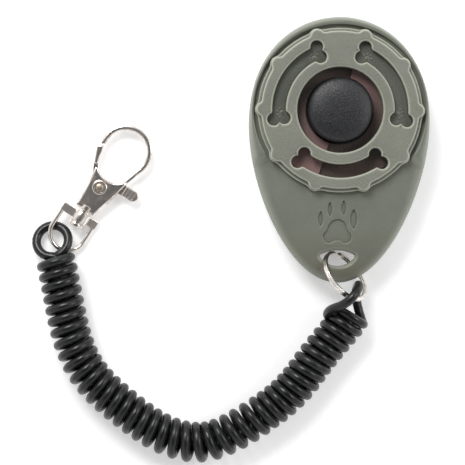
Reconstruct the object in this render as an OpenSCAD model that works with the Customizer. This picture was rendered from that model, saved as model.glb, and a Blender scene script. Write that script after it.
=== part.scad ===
// Clicker trainer with a volume dial, split ring, coiled wrist cord and swivel trigger clasp.
// Millimetres. Origin: bottom centre of the clicker body's own box. +X right, +Y away from
// the cord end, +Z up out of the button side. The clicker lies on its back on z = 0.

/* [Body] */
// length of the egg-shaped body along Y
body_len = 66.1; // [60:0.1:75]
// half width of the body outline
body_half_w = 21.97; // [18:0.01:26]
// height of the seam between the two covers
seam_z = 6.5; // [5:0.1:8]
// height of the front cover next to the dial
front_z = 11.2; // [10:0.1:13]
// how far the back rises at the narrow end
tip_lift = 4.6; // [3:0.1:5]
// wall thickness of both covers
wall = 1.6; // [1:0.1:2.5]

/* [Dial] */
// distance of the dial axis from the body centre
dial_y = 9.7; // [5:0.1:14]
// radius of the dial between the grip lobes
dial_r = 19.5; // [16:0.05:22]
// radius reached by the grip lobes
lobe_tip_r = 20.75; // [17:0.05:23]
// number of grip lobes, one for each click position of a full turn
lobes = 10; // [6:1:16]
// radius of the opening round the button
dial_bore_r = 10.6; // [9:0.1:13]
// height of the dial face
dial_z = 13.6; // [12:0.1:16]
// mid radius of the three bone windows
bone_r = 15.1; // [13:0.1:17]

/* [Button] */
// radius of the button cap
button_r = 7.95; // [6:0.05:9]
// height of the button crown
button_z = 15.6; // [14:0.1:18]
// button travel
button_travel = 0.9; // [0.5:0.1:1.5]
// radius of the button stem
stem_r = 2.0; // [1.5:0.1:3]

/* [Cord] */
// diameter of the plastic strand
strand_d = 2.3; // [1.5:0.1:3]
// outer diameter of the coil
coil_od = 10.6; // [8:0.1:14]

/* [Ring and clasp] */
// centreline radius of the split ring
ring_r = 6.85; // [5:0.05:9]
// tilt of the split ring about its long axis
ring_tilt = 60; // [0:1:80]
// heading of the split ring's long axis, clockwise from +X
ring_turn = 50; // [0:1:90]
// angle of the clasp from +Y, clockwise
clasp_turn = 32.3; // [0:0.1:90]
// thickness of the clasp body
clasp_t = 3.0; // [2:0.1:4]

/* [Hidden] */

N = 72;              // points round the covers
half_l = body_len / 2;
recess_r = 21.3;     // wall of the dial recess
floor_top = 8.6;     // upper face of the recess floor
floor_low = 7.2;     // underside of the recess floor
hub_r = 10.9;        // bearing hub under the dial
skirt_r = 20.35;     // low skirt of the dial between its lobes
knob_r = 1.55;       // round knobs at the bone ends
run = 0.05;          // radial running clearance
egg_taper = 4.7;     // how much fuller the dial end of the outline is than its tip end
egg_cheek = 0.25;    // a little more width at both ends
egg_tail = 0.35;     // and a little less at the dial end than the taper alone gives
solid_y = -21.5;     // the covers are solid plastic beyond this line
plate_z = 3.6;       // underside of the clicker plate
D = [0, dial_y];
clasp_at = [-59.8, -9.9, 2.2];
ring_at = [2.05, -31.4, 6.75];
coil_z = coil_od / 2;
coil_route = [[-70.5, -27.5], [-69, -35], [-66, -48], [-61.5, -57], [-53, -65], [-43, -71.5],
    [-34, -73.5], [-26, -71], [-16, -64.5], [-10, -59], [-4, -51], [2.5, -43]];
loop_route = [[-1.8, -41.2, 7.2], [-1.9, -40, 9.2], [-0.7, -39.2, 11], [0.8, -38.6, 12.5],
    [2.4, -37.5, 13.6], [3.7, -36.2, 13.7], [4.6, -35, 12.8], [5.2, -33.9, 10.9], [5.3, -33.5, 8.4],
    [5.2, -34, 6.1], [5, -35.2, 4.6], [5, -36.7, 4], [5.3, -38.4, 3.9], [5.9, -41, 4.1],
    [6.3, -43.2, 4.5], [6.1, -45, 5], [5.5, -46.4, 5.3]];

function egg(a) = [sin(a) * (body_half_w + egg_taper * cos(a) + egg_cheek * pow(cos(a), 2)
    - egg_tail * pow(cos(a), 3)), half_l * cos(a)];
function egg_in(a, d) =
    let (t = egg(a + 0.5) - egg(a - 0.5), n = [t[1], -t[0]] / norm(t))
    egg(a) + n * d;
function clampy(p) = [p[0], max(p[1], solid_y)];
function lift(y) = tip_lift * pow(max(0, -12 - y) / 21.05, 1.6);
function crown(y) = front_z - 1.9 * pow(max(0, -11 - y) / 22, 1.5);

// closed skin through rings of equal point count; loop = true joins last ring to first
module skin(rings, loop = false) {
    n = len(rings[0]);
    m = len(rings);
    pts = [for (r = rings) for (p = r) p];
    side = [for (i = [0 : (loop ? m - 1 : m - 2)]) for (j = [0 : n - 1])
        let (a = i * n + j, b = i * n + (j + 1) % n,
            c = ((i + 1) % m) * n + (j + 1) % n, d = ((i + 1) % m) * n + j)
        each [[a, b, c], [a, c, d]]];
    caps = loop ? [] : [[for (j = [n - 1 : -1 : 0]) j], [for (j = [0 : n - 1]) (m - 1) * n + j]];
    polyhedron(points = pts, faces = concat(side, caps), convexity = 8);
}

// tube swept along a route, k-sided, ends flat
function unit(v) = v / norm(v);
function tang(P, i) = unit(P[min(i + 1, len(P) - 1)] - P[max(i - 1, 0)]);
function side_of(t) = unit(cross(t, abs(t[2]) > 0.8 ? [1, 0.3, 0] : [0, 0, 1]));
module sweep_tube(P, r, k = 12) {
    skin([for (i = [0 : len(P) - 1])
        let (t = tang(P, i), u = side_of(t), w = cross(u, t))
        [for (j = [0 : k - 1]) P[i] + r * (cos(360 * j / k) * u + sin(360 * j / k) * w)]]);
}
// same, with the section carried along without twist
function carry(P, i, u) = let (t = tang(P, i)) unit(u - (u * t) * t);
function frames(P, i, u) = i >= len(P) ? [] :
    let (v = carry(P, i, u)) concat([v], frames(P, i + 1, v));
module carried_tube(P, r, u0, k = 12) {
    U = frames(P, 0, u0);
    skin([for (i = [0 : len(P) - 1])
        let (t = tang(P, i), w = cross(t, U[i]))
        [for (j = [0 : k - 1]) P[i] + r * (cos(-360 * j / k) * U[i] + sin(-360 * j / k) * w)]]);
}
// smooth points between route points
function cr(a, b, c, d, t) = 0.5 * ((2 * b) + (c - a) * t + (2 * a - 5 * b + 4 * c - d) * t * t
    + (3 * b - a - 3 * c + d) * t * t * t);
function smooth(P, k) = concat([for (i = [0 : len(P) - 2]) for (s = [0 : k - 1])
    cr(P[max(i - 1, 0)], P[i], P[i + 1], P[min(i + 2, len(P) - 1)], s / k)], [P[len(P) - 1]]);

// ring of points of the back cover: inset d from the outline, height h above the raised back
function back_ring(d, h) = [for (k = [0 : N - 1]) let (p = egg_in(360 * k / N, d), l = lift(p[1]))
    [p[0], p[1], l + h * (seam_z - l) / seam_z]];
function back_fan(s, h) = [for (k = [0 : N - 1]) let (p = s * egg(360 * k / N), l = lift(p[1]))
    [p[0], p[1], l + h * (seam_z - l) / seam_z]];
function cave_ring(d, h) = [for (k = [0 : N - 1])
    let (p = clampy(egg_in(360 * k / N, d)), l = lift(p[1]))
    [p[0], p[1], l + h * (seam_z - l) / seam_z]];
case_pts = [[0, 28, 0], [-15, -0.8, 0], [15, -0.8, 0], [0, -18, 0.7]];
clamp_pts = [[-3.4, -6.6], [3.4, -6.6]];
post_x = 13.2;

module at_dial() translate([0, dial_y, 0]) children();
// half-moon lanyard hole: straight lip at the front, wider below it, bevelled at the mouth
module lens_step(z, h, g1, g2) {
    intersection() {
        translate([0, -33.6, z]) cylinder(r1 = 8.6 + g1, r2 = 8.6 + g2, h = h, $fn = 96);
        translate([0, -23.62, z]) cylinder(r1 = 5.28 + g1, r2 = 5.28 + g2, h = h, $fn = 96);
    }
}
module lens_cut() {
    lens_step(-1, 8, 0.6, 0.6);
    lens_step(6.99, 1, 0.6, 0);
    lens_step(7.9, 3, 0, 0);
    lens_step(8.5, 2, 0, 1.3);
}

module back_cover() color("#66675e") difference() {
    union() {
        skin(concat([back_fan(0.3, 0), back_fan(0.6, 0)],
            [for (q = [0, 25, 50, 75, 90]) back_ring(4.6 * (1 - sin(q)), 4.8 * (1 - cos(q)))],
            [back_ring(0, seam_z), cave_ring(wall, seam_z), cave_ring(wall, 4.2),
            cave_ring(2.6, 2.4), cave_ring(4.8, 1.6)],
            [for (s = [0.6, 0.3]) back_fan(s, 1.6)]));
        for (p = case_pts) translate([p[0], p[1], 1]) cylinder(r = 2.4, h = seam_z - 1, $fn = 48);
        for (s = [-1, 1]) translate([s * post_x, dial_y, 1]) cylinder(r = 1.2, h = 5.4, $fn = 48);
        translate([-6, -9.8, 1]) cube([12, 6.4, plate_z - 1]);
    }
    for (p = case_pts) translate([p[0], p[1], -1]) {
        cylinder(r = 1.1, h = 9, $fn = 32);
        cylinder(r = 2.05, h = 2.9 + p[2], $fn = 48);
    }
    for (p = clamp_pts) translate([p[0], p[1], 1.9]) cylinder(r = 0.65, h = 3, $fn = 32);
    for (s = [-1, 1]) translate([s * 6.4, dial_y, 0.8]) cylinder(r = 0.75, h = 2, $fn = 32);
    lens_cut();
}

// front cover: rings numbered by azimuth round the dial axis
function pole(k) = egg(360 * k / N);
function ray(k) = unit(pole(k) - D);
function rim(k) = let (f = atan2(ray(k)[1], ray(k)[0]), e = min(abs(f + 90), abs(f - 270)))
    min(1, max(0, (e - 54) / 6));
function ledge() = front_z - 0.5;
function face(y) = crown(y) - 0.5;
function up(v, z) = [v[0], v[1], z];
function rout(k) = norm(pole(k) - D);
function bevel(k) = min(3.2, 0.7 * (rout(k) - recess_r));
function inner(k) = clampy(egg_in(360 * k / N, wall));
function rin(k) = norm(inner(k) - D);
function iray(k) = unit(inner(k) - D);
function pocket(k) = 2.2 * min(1, max(0, (rin(k) - 24) / 4));
function top_at(k, y) = face(y) + 1.3 * rim(k);
function side_z(k) = seam_z + 0.4 * (top_at(k, pole(k)[1]) - seam_z);
function on_top(k, f) = let (q = pole(k) - ray(k) * bevel(k), c = D + ray(k) * recess_r,
    p = q + (c - q) * f) up(p, top_at(k, p[1]));

module front_cover() color("#6f7167") difference() {
    union() {
        skin(concat([
            [for (k = [0 : N - 1]) up(D + 12 * ray(k), floor_low)],
            [for (k = [0 : N - 1]) up(D + iray(k) * min(22.6, rin(k) - 0.3), floor_low)],
            [for (k = [0 : N - 1]) up(D + iray(k) * min(22.7, rin(k) - 0.2), floor_low + pocket(k))],
            [for (k = [0 : N - 1]) up(D + iray(k) * (rin(k) - 0.05), floor_low + pocket(k))],
            [for (k = [0 : N - 1]) up(inner(k), seam_z)],
            [for (k = [0 : N - 1]) up(pole(k), seam_z)]],
            [for (q = [0, 30, 60, 90]) [for (k = [0 : N - 1])
                up(pole(k) - ray(k) * bevel(k) * (1 - cos(q)), side_z(k)
                + (top_at(k, (pole(k) - ray(k) * bevel(k))[1]) - side_z(k)) * sin(q))]],
            [for (f = [0.25, 0.5, 0.75, 1]) [for (k = [0 : N - 1]) on_top(k, f)]],
            [[for (k = [0 : N - 1]) up(D + ray(k) * (recess_r - 0.05), ledge() - 0.02)],
            [for (k = [0 : N - 1]) up(D + ray(k) * 18.95, ledge() - 0.02)],
            [for (k = [0 : N - 1]) up(D + ray(k) * 18.9, floor_top)],
            [for (k = [0 : N - 1]) up(D + ray(k) * 12, floor_top)]]), loop = true);
        at_dial() rotate_extrude($fn = 96) polygon([[hub_r + run, floor_low], [12.5, floor_low],
            [12.5, floor_top], [hub_r + run, floor_top]]);
        for (p = case_pts) translate([p[0], p[1], seam_z])
            cylinder(r = 2.2, h = (p[2] > 0 ? 3.1 : 1.3), $fn = 48);
        at_dial() for (a = [-52, -176]) rotate(a) translate([13.6, 0, 6.6])
            cylinder(r = 0.8, h = 1.2, $fn = 32);
    }
    for (p = case_pts) translate([p[0], p[1], seam_z - 1])
        cylinder(r = 0.9, h = (p[2] > 0 ? 3.4 : 2.6), $fn = 32);
    lens_cut();
    paw_mark();
}

module pad_2d() {
    translate([-2.3, -31.4]) circle(r = 1.55, $fn = 48);
    translate([1.8, -31.4]) circle(r = 1.55, $fn = 48);
    translate([-0.2, -29.4]) circle(r = 2.5, $fn = 48);
    polygon([[-3.8, -31.0], [-2.4, -29.0], [1.9, -29.0], [3.3, -31.0], [1.9, -32.3], [-2.4, -32.3]]);
}
module paw_mark() at_dial() translate([0, 0, ledge() - 0.9]) intersection() {
    linear_extrude(3) {
        for (t = [[-4.4, -26.9, 0.7, 2.0], [-2.1, -24.5, 0.65, 1.9], [1.3, -24.1, 0.7, 2.0],
            [3.8, -26.9, 0.95, 2.6]])
            intersection() {
                r = (t[2] * t[2] + t[3] * t[3]) / (2 * t[2]);
                translate([t[0] - t[2] + r, t[1]]) circle(r = r, $fn = 96);
                translate([t[0] + t[2] - r, t[1]]) circle(r = r, $fn = 96);
            }
        pad_2d();
    }
    translate([-8, -36, 0]) cube([16, 16, 3]);
}

module lobed_2d(d) {
    circle(r = dial_r - d, $fn = 180);
    for (i = [0 : lobes - 1]) rotate(360 / lobes * i)
        translate([lobe_tip_r - 1.75, 0]) circle(r = 1.75 - d, $fn = 48);
}
module bone_2d(c, d = 0) rotate(c) {
    intersection() {
        difference() {
            circle(r = bone_r + 1.65 - d, $fn = 180);
            circle(r = bone_r - 1.65 + d, $fn = 180);
        }
        polygon([[0, 0], [40 * cos(38), -40 * sin(38)], [60, 0], [40 * cos(38), 40 * sin(38)]]);
    }
    for (s = [-1, 1]) for (q = [-1.15, 1.5]) rotate(38.8 * s)
        translate([bone_r + q, 0]) circle(r = knob_r - d, $fn = 48);
}
module volume_dial() color("#90908a") at_dial() difference() {
    union() {
        translate([0, 0, 9.95]) cylinder(r = 18.6, h = 1.1, $fn = 180);
        translate([0, 0, 11]) linear_extrude(dial_z - 0.5 - 11) lobed_2d(0);
        translate([0, 0, 11]) cylinder(r = skirt_r, h = 0.9, $fn = 180);
        translate([0, 0, 11.9]) cylinder(r1 = skirt_r, r2 = skirt_r - 0.25, h = 0.25, $fn = 180);
        translate([0, 0, dial_z - 0.5]) linear_extrude(0.3) lobed_2d(0.15);
        translate([0, 0, dial_z - 0.2]) linear_extrude(0.2) lobed_2d(0.4);
    }
    translate([0, 0, 9]) cylinder(r = dial_bore_r, h = 8, $fn = 128);
    translate([0, 0, dial_z - 0.4]) cylinder(r1 = dial_bore_r, r2 = dial_bore_r + 0.5, h = 0.5, $fn = 128);
    for (a = [30, 150]) translate([0, 0, 10.9]) linear_extrude(5) bone_2d(a);
    translate([0, 0, 9]) linear_extrude(8) bone_2d(270);
    for (a = [90, 210, 330]) rotate(a) translate([11.75, 0, 9]) cylinder(r = 0.7, h = 2.2, $fn = 32);
}

module small_paw() {
    cylinder(r = 0.55, h = 0.4, $fn = 24);
    for (a = [-50, -17, 17, 50]) rotate(a) translate([0, 0.95, 0]) cylinder(r = 0.24, h = 0.4, $fn = 16);
}
module bone_inlays() color("#55564f") at_dial() for (a = [30, 150]) {
    translate([0, 0, 10.9]) linear_extrude(0.6) bone_2d(a, 0.06);
    for (s = [-1, 1]) rotate(a + s * 30) translate([bone_r - 0.2, 0, 11.35]) small_paw();
}

// sector of a ring whose top runs from z1 to z2 between angles a1 and a2
module ramp(r1, r2, z0, a1, a2, z1, z2, n = 24) {
    pts = [for (i = [0 : n]) let (a = a1 + (a2 - a1) * i / n, z = z1 + (z2 - z1) * i / n)
        each [[r1 * cos(a), r1 * sin(a), z0], [r2 * cos(a), r2 * sin(a), z0],
        [r2 * cos(a), r2 * sin(a), z], [r1 * cos(a), r1 * sin(a), z]]];
    f = [for (i = [0 : n - 1]) for (j = [0 : 3]) let (a = 4 * i + j, b = 4 * i + (j + 1) % 4)
        each [[a, b, b + 4], [a, b + 4, a + 4]]];
    flip = (z1 > z0) != (a2 > a1);
    all = concat(f, [[3, 2, 1, 0]], [[4 * n, 4 * n + 1, 4 * n + 2, 4 * n + 3]]);
    polyhedron(points = pts, convexity = 6,
        faces = flip ? [for (g = all) [for (j = [len(g) - 1 : -1 : 0]) g[j]]] : all);
}
module cam_disc() color("#3b2f2c") at_dial() difference() {
    union() {
        rotate_extrude($fn = 128) polygon([[8.4, 8.75], [9, 8.75], [9, 6.6], [hub_r, 6.6],
            [hub_r, 6.7], [10.5, 6.7], [10.5, 7.1], [hub_r, 7.1], [hub_r, 8.75], [17.9, 8.75],
            [17.9, 9.05], [8.4, 9.05]]);
        for (a = [72.5, 252.5]) ramp(8.5, 17.8, 8.9, a, a - 180, 9.85, 9.05);
        for (a = [82, 262]) ramp(9.15, 10.4, 6.75, a, a + 130, 6.6, 5.9);
        for (a = [90, 210, 330]) rotate(a) translate([11.75, 0, 8.9])
            cylinder(r = 0.65, h = 2.1, $fn = 32);
    }
}
module dial_clip() color("#9a9a98") at_dial() difference() {
    union() {
        rotate_extrude($fn = 96) polygon([[10.55, 6.75], [12.4, 6.75], [12.4, 7.05], [10.55, 7.05]]);
        rotate(-60) translate([12, -0.8, 6.75]) cube([2.1, 1.6, 0.3]);
    }
    for (i = [0 : 9]) rotate(18 + 36 * i) translate([12.7, 0, 6]) cylinder(r = 0.5, h = 2, $fn = 24);
}
module detent_spring() color("#b5b5b0") at_dial() {
    rotate(36) rotate_extrude(angle = 60, $fn = 96) polygon([[12.95, 6.7], [13.15, 6.7],
        [13.15, 7.05], [12.95, 7.05]]);
    rotate(54) translate([12.85, 0, 6.7]) cylinder(r = 0.38, h = 0.35, $fn = 24);
    for (a = [38, 94]) rotate(a) translate([12.95, -0.5, 6.7]) cube([1.1, 1, 0.5]);
}

module button() color("#2e2f30") at_dial() rotate_extrude($fn = 128) polygon(concat(
    [[0, 4.35], [stem_r, 4.35], [stem_r, 13.4], [6.9, 13.4], [6.9, 7.6], [8.7, 7.6], [8.7, 8.4],
    [button_r, 8.4], [button_r, button_z - 1.6]],
    [for (q = [15 : 15 : 90]) [button_r - 1.3 * (1 - cos(q)), button_z - 1.6 + 1.25 * sin(q)]],
    [[4, button_z - 0.12], [0, button_z]]));
module stem_guide() color("#dcd9cf") at_dial() difference() {
    union() {
        translate([-7.3, -2.2, 5.6]) cube([14.6, 4.4, 1]);
        for (s = [-1, 1]) {
            translate([s * 6.35 - 0.95, -2.2, 1.6]) cube([1.9, 4.4, 4.2]);
            translate([s * 6.4, 0, 0.9]) cylinder(r = 0.7, h = 1, $fn = 32);
        }
    }
    translate([0, 0, 5]) cylinder(r = stem_r + run, h = 3, $fn = 64);
}
module clicker_plate() color("#aeb2b4") union() {
    translate([-4.5, -3.35, plate_z]) cube([9, 26, 0.35]);
    at_dial() translate([0, 0, plate_z + 0.3]) cylinder(r1 = 2.5, r2 = 0.6, h = 0.42, $fn = 48);
}
module plate_root() color("#aeb2b4") difference() {
    translate([-5.4, -9.6, plate_z]) cube([10.8, 6.2, 0.35]);
    for (p = clamp_pts) translate([p[0], p[1], 3]) cylinder(r = 0.75, h = 2, $fn = 32);
}
module plate_clamp() color("#8e8f8d") difference() {
    translate([-5.4, -9.6, plate_z + 0.35]) cube([10.8, 6, 0.8]);
    for (p = clamp_pts) translate([p[0], p[1], 3]) cylinder(r = 0.75, h = 3, $fn = 32);
}
module screw(head_r, head_h, r, len) {
    difference() {
        cylinder(r = head_r, h = head_h, $fn = 48);
        for (a = [0, 90]) rotate(a) translate([-head_r * 0.6, -0.2, -1]) cube([head_r * 1.2, 0.4, 1.5]);
    }
    translate([0, 0, head_h - 0.1]) cylinder(r = r, h = len, $fn = 32);
}
module clamp_screws() color("#c0c0bc") for (p = clamp_pts)
    translate([p[0], p[1], 5.45]) mirror([0, 0, 1]) screw(1.25, 0.7, 0.6, 2.6);
module case_screws() color("#c0c0bc") for (p = case_pts)
    translate([p[0], p[1], 0.6 + p[2]]) screw(1.85, 1.3, 0.85, (p[2] > 0 ? 5.6 : 5.2));

module damper_ring() color("#c9c4b4") at_dial() {
    difference() {
        union() {
            rotate_extrude($fn = 96) polygon([[9, 5.1], [12.2, 5.1], [12.2, 5.7], [9, 5.7]]);
            for (s = [-1, 1]) translate([s * post_x, 0, 5.1]) cylinder(r = 2.3, h = 0.6, $fn = 48);
        }
        for (s = [-1, 1]) translate([s * post_x, 0, 5]) cylinder(r = 1.2 + run, h = 1, $fn = 48);
    }
    for (s = [90, 270]) rotate(s) translate([9.75, 0, 5.6]) cylinder(r = 0.5, h = 0.93, $fn = 24);
}
module damper_pads() color("#2a2a2a") at_dial() for (s = [-1, 1])
    translate([-3.2, s * 10.6 - 1.2, 4.62]) cube([6.4, 2.4, 0.48]);
module damper_springs() color("#b9bcbd") for (s = [-1, 1]) translate([s * post_x, dial_y, 0])
    carried_tube([for (i = [0 : 48]) [1.75 * cos(30 * i), 1.75 * sin(30 * i), 1.85 + 3.03 * i / 48]],
        0.2, [0, 0, 1], 6);

module split_ring() color("#c9c6bf") translate(ring_at) rotate([0, 0, -ring_turn])
    rotate([-ring_tilt, 0, 0]) rotate_extrude($fn = 120)
    polygon([[ring_r - 0.4, -0.5], [ring_r - 0.34, -0.56], [ring_r + 0.34, -0.56],
        [ring_r + 0.4, -0.5], [ring_r + 0.4, -0.06], [ring_r + 0.28, 0], [ring_r + 0.4, 0.06],
        [ring_r + 0.4, 0.5], [ring_r + 0.34, 0.56], [ring_r - 0.34, 0.56], [ring_r - 0.4, 0.5],
        [ring_r - 0.4, 0.06], [ring_r - 0.28, 0], [ring_r - 0.4, -0.06]]);

module cord_coil() color("#242526")
    sweep_tube([for (p = smooth(coil_route, 2)) [p[0], p[1], coil_z + 0.05]], coil_od / 2, 12);
module cord_loop() color("#242526")
    carried_tube(smooth(loop_route, 3), strand_d / 2, [1, 0, 0], 10);
eye_r = 4.1;
module cord_eye() color("#242526") translate([-71.6, -23.5, 2.75]) rotate([0, 0, -65.5])
    rotate([0, -19, 0]) rotate_extrude($fn = 96) translate([eye_r, 0]) circle(r = strand_d / 2, $fn = 32);

module clasp_frame() translate(clasp_at) rotate([0, 0, -clasp_turn]) children();
module along(s) translate([0, s, 0]) rotate([90, 0, 0]) children();
bail_x = -0.5;
bail_w = 4.6;
bail_s = -13.9;
module clasp_bail() color("#bdbab4") clasp_frame() rotate([0, 17, 0]) difference() {
    union() {
        translate([bail_x, bail_s, 0]) rotate(180) rotate_extrude(angle = 180, $fn = 96)
            translate([bail_w, 0]) circle(r = 0.58, $fn = 32);
        for (s = [-1, 1]) translate([bail_x + s * bail_w, bail_s, 0]) rotate([-90, 0, 0])
            cylinder(r = 0.58, h = bail_s * -1 - 8.2, $fn = 32);
        translate([bail_x - bail_w - 0.55, -9.9, -0.65]) cube([bail_w * 2 + 1.1, 2.3, 1.3]);
        along(-7.6) cylinder(r = 2.2, h = 2.7, $fn = 64);
    }
    along(-7) cylinder(r = 1.2 + run, h = 5, $fn = 48);
}
module swivel_pin() color("#b4b1aa") clasp_frame() {
    along(-3.4) cylinder(r = 1, h = 2.3, $fn = 48);
    along(-5.55) cylinder(r = 1.85, h = 1.35, $fn = 48);
    along(-6.8) cylinder(r = 1.2, h = 4, $fn = 48);
    along(-10.5) cylinder(r = 2, h = 1.2, $fn = 48);
}
module loop_in_2d() {
    translate([0.55, 11.25]) circle(r = 5.3, $fn = 96);
    translate([0.4, 7.4]) circle(r = 4.85, $fn = 96);
    polygon([[-4.72, 11.6], [-4.4, 6.9], [5.2, 6.9], [5.84, 11.6]]);
}
module hook_2d() difference() {
    union() {
        translate([0.55, 11.25]) circle(r = 6.65, $fn = 128);
        polygon([[-3.7, 3.9], [-3.5, 2.4], [-3.0, -1], [-2.75, -5], [-2.85, -6.9], [2.6, -6.9],
            [3, -4.9], [4.1, -1], [4.9, 2.25], [5.4, 4.9], [6, 6.75], [6.9, 9.3], [7.2, 11.25],
            [0.5, 11.25], [0.4, 4]]);
    }
    loop_in_2d();
    intersection() {
        circle(r = 10.95, $fn = 96);
        polygon([[-9, 3.9], [-2.2, 3.9], [-2.2, 12], [-9, 12]]);
    }
}
module clasp_hook() color("#b7b4ad") clasp_frame() difference() {
    union() {
        translate([0, 0, -clasp_t / 2]) linear_extrude(clasp_t) intersection() {
            hook_2d();
            translate([-10, -8]) square([20, 12.2]);
        }
        translate([0, 0, -1.1]) linear_extrude(2.2) intersection() {
            hook_2d();
            translate([-10, 4.1]) square([20, 20]);
        }
    }
    translate([-10, -2.7, -0.65]) cube([20, 6.9, 1.3]);
    translate([-2, -7.5, -3]) cube([4.1, 2.2, 6]);
    along(-2) cylinder(r = 1.05, h = 4, $fn = 48);
    translate([0, 0, -3]) cylinder(r = 0.9, h = 6, $fn = 48);
}
module gate_2d() difference() {
    intersection() {
        union() {
            polygon([[-6.8, 9.6], [-5.2, 10.3], [-2.9, 3.9], [0, 1.9], [0, -1.5], [-1.6, -1],
                [-4.35, 3.6]]);
            circle(r = 1.9, $fn = 64);
            polygon([[0, 1.9], [3, 4], [8.25, 4.1], [8.25, 1.2], [5, 1.2], [1.5, -1.2], [0, -1.5]]);
            translate([8.25, 2.65]) circle(r = 1.45, $fn = 48);
        }
        circle(r = 10.75, $fn = 96);
    }
    translate([0.4, 7.4]) circle(r = 4.7, $fn = 96);
}
module clasp_gate() color("#a9a69f") clasp_frame() difference() {
    union() {
        translate([0, 0, -0.55]) linear_extrude(1.1) gate_2d();
        translate([0, 0, -0.95]) linear_extrude(1.9) intersection() {
            gate_2d();
            union() {
                translate([-8, 4.5]) square([6, 8]);
                translate([5.5, 0]) square([6, 6]);
            }
        }
    }
    translate([0, 0, -3]) cylinder(r = 0.9, h = 6, $fn = 48);
    translate([0, 0, 0]) cylinder(r = 1.55, h = 3, $fn = 48);
    translate([1.1, -0.4, 0]) rotate(35) cube([3.4, 0.5, 1]);
}
module gate_spring() color("#d2d0ca") clasp_frame() {
    translate([0, 0, 0.05]) rotate_extrude($fn = 64) polygon([[1.0, 0], [1.4, 0], [1.4, 0.45], [1.0, 0.45]]);
    translate([1.1, -0.35, 0.05]) rotate(35) cube([3.2, 0.4, 0.4]);
}
module gate_rivet() color("#c9bba6") clasp_frame() {
    cylinder(r = 0.85, h = clasp_t + 0.2, center = true, $fn = 48);
    for (s = [0, 1]) mirror([0, 0, s]) translate([0, 0, clasp_t / 2]) rotate_extrude($fn = 64)
        polygon([[0, 0], [1.85, 0], [1.7, 0.25], [1.45, 0.3], [1.25, 0.12], [1.0, 0.12],
            [0.9, 0.25], [0, 0.3]]);
}

back_cover();
front_cover();
volume_dial();
bone_inlays();
cam_disc();
dial_clip();
detent_spring();
button();
stem_guide();
clicker_plate();
plate_root();
plate_clamp();
clamp_screws();
case_screws();
damper_ring();
damper_pads();
damper_springs();
split_ring();
cord_coil();
cord_loop();
cord_eye();
clasp_bail();
swivel_pin();
clasp_hook();
clasp_gate();
gate_spring();
gate_rivet();
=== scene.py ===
import math
import bpy
import bmesh
import numpy as np
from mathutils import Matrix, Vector
from mathutils.geometry import delaunay_2d_cdt

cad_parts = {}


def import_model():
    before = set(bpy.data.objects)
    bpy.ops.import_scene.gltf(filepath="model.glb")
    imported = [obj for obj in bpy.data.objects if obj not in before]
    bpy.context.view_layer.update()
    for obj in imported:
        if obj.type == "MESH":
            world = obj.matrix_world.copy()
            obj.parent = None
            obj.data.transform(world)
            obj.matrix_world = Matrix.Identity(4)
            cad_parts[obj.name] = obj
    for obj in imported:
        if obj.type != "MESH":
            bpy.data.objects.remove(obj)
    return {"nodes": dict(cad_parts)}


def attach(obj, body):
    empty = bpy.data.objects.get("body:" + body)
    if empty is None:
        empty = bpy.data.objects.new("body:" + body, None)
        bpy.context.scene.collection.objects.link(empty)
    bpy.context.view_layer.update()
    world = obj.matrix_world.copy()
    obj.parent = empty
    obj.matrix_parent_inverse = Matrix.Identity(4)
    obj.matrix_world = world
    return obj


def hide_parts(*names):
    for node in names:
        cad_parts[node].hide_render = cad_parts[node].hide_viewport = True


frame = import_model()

# The clicker trainer, built in millimetres round the CAD frame and stored in metres.
MM = 0.001
bpy.context.view_layer.update()
scene = bpy.context.scene
rad = math.radians


# ---------------------------------------------------------------- camera
DISTANCE = 450.0     # from the camera down to the seam between the covers
VIEW_W = 116.25      # width seen at that distance
ROLL = (0.0115, 0.99993)


def add_camera():
    data = bpy.data.cameras.new("camera")
    data.sensor_width = 36.0
    data.lens = data.sensor_width * DISTANCE / VIEW_W
    data.clip_start = 0.01
    obj = bpy.data.objects.new("camera", data)
    obj.location = (-26.22 * MM, -20.85 * MM, 456.5 * MM)
    obj.rotation_euler = (0.0, 0.0, math.atan2(*ROLL))
    scene.collection.objects.link(obj)
    scene.camera = obj


add_camera()


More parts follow.
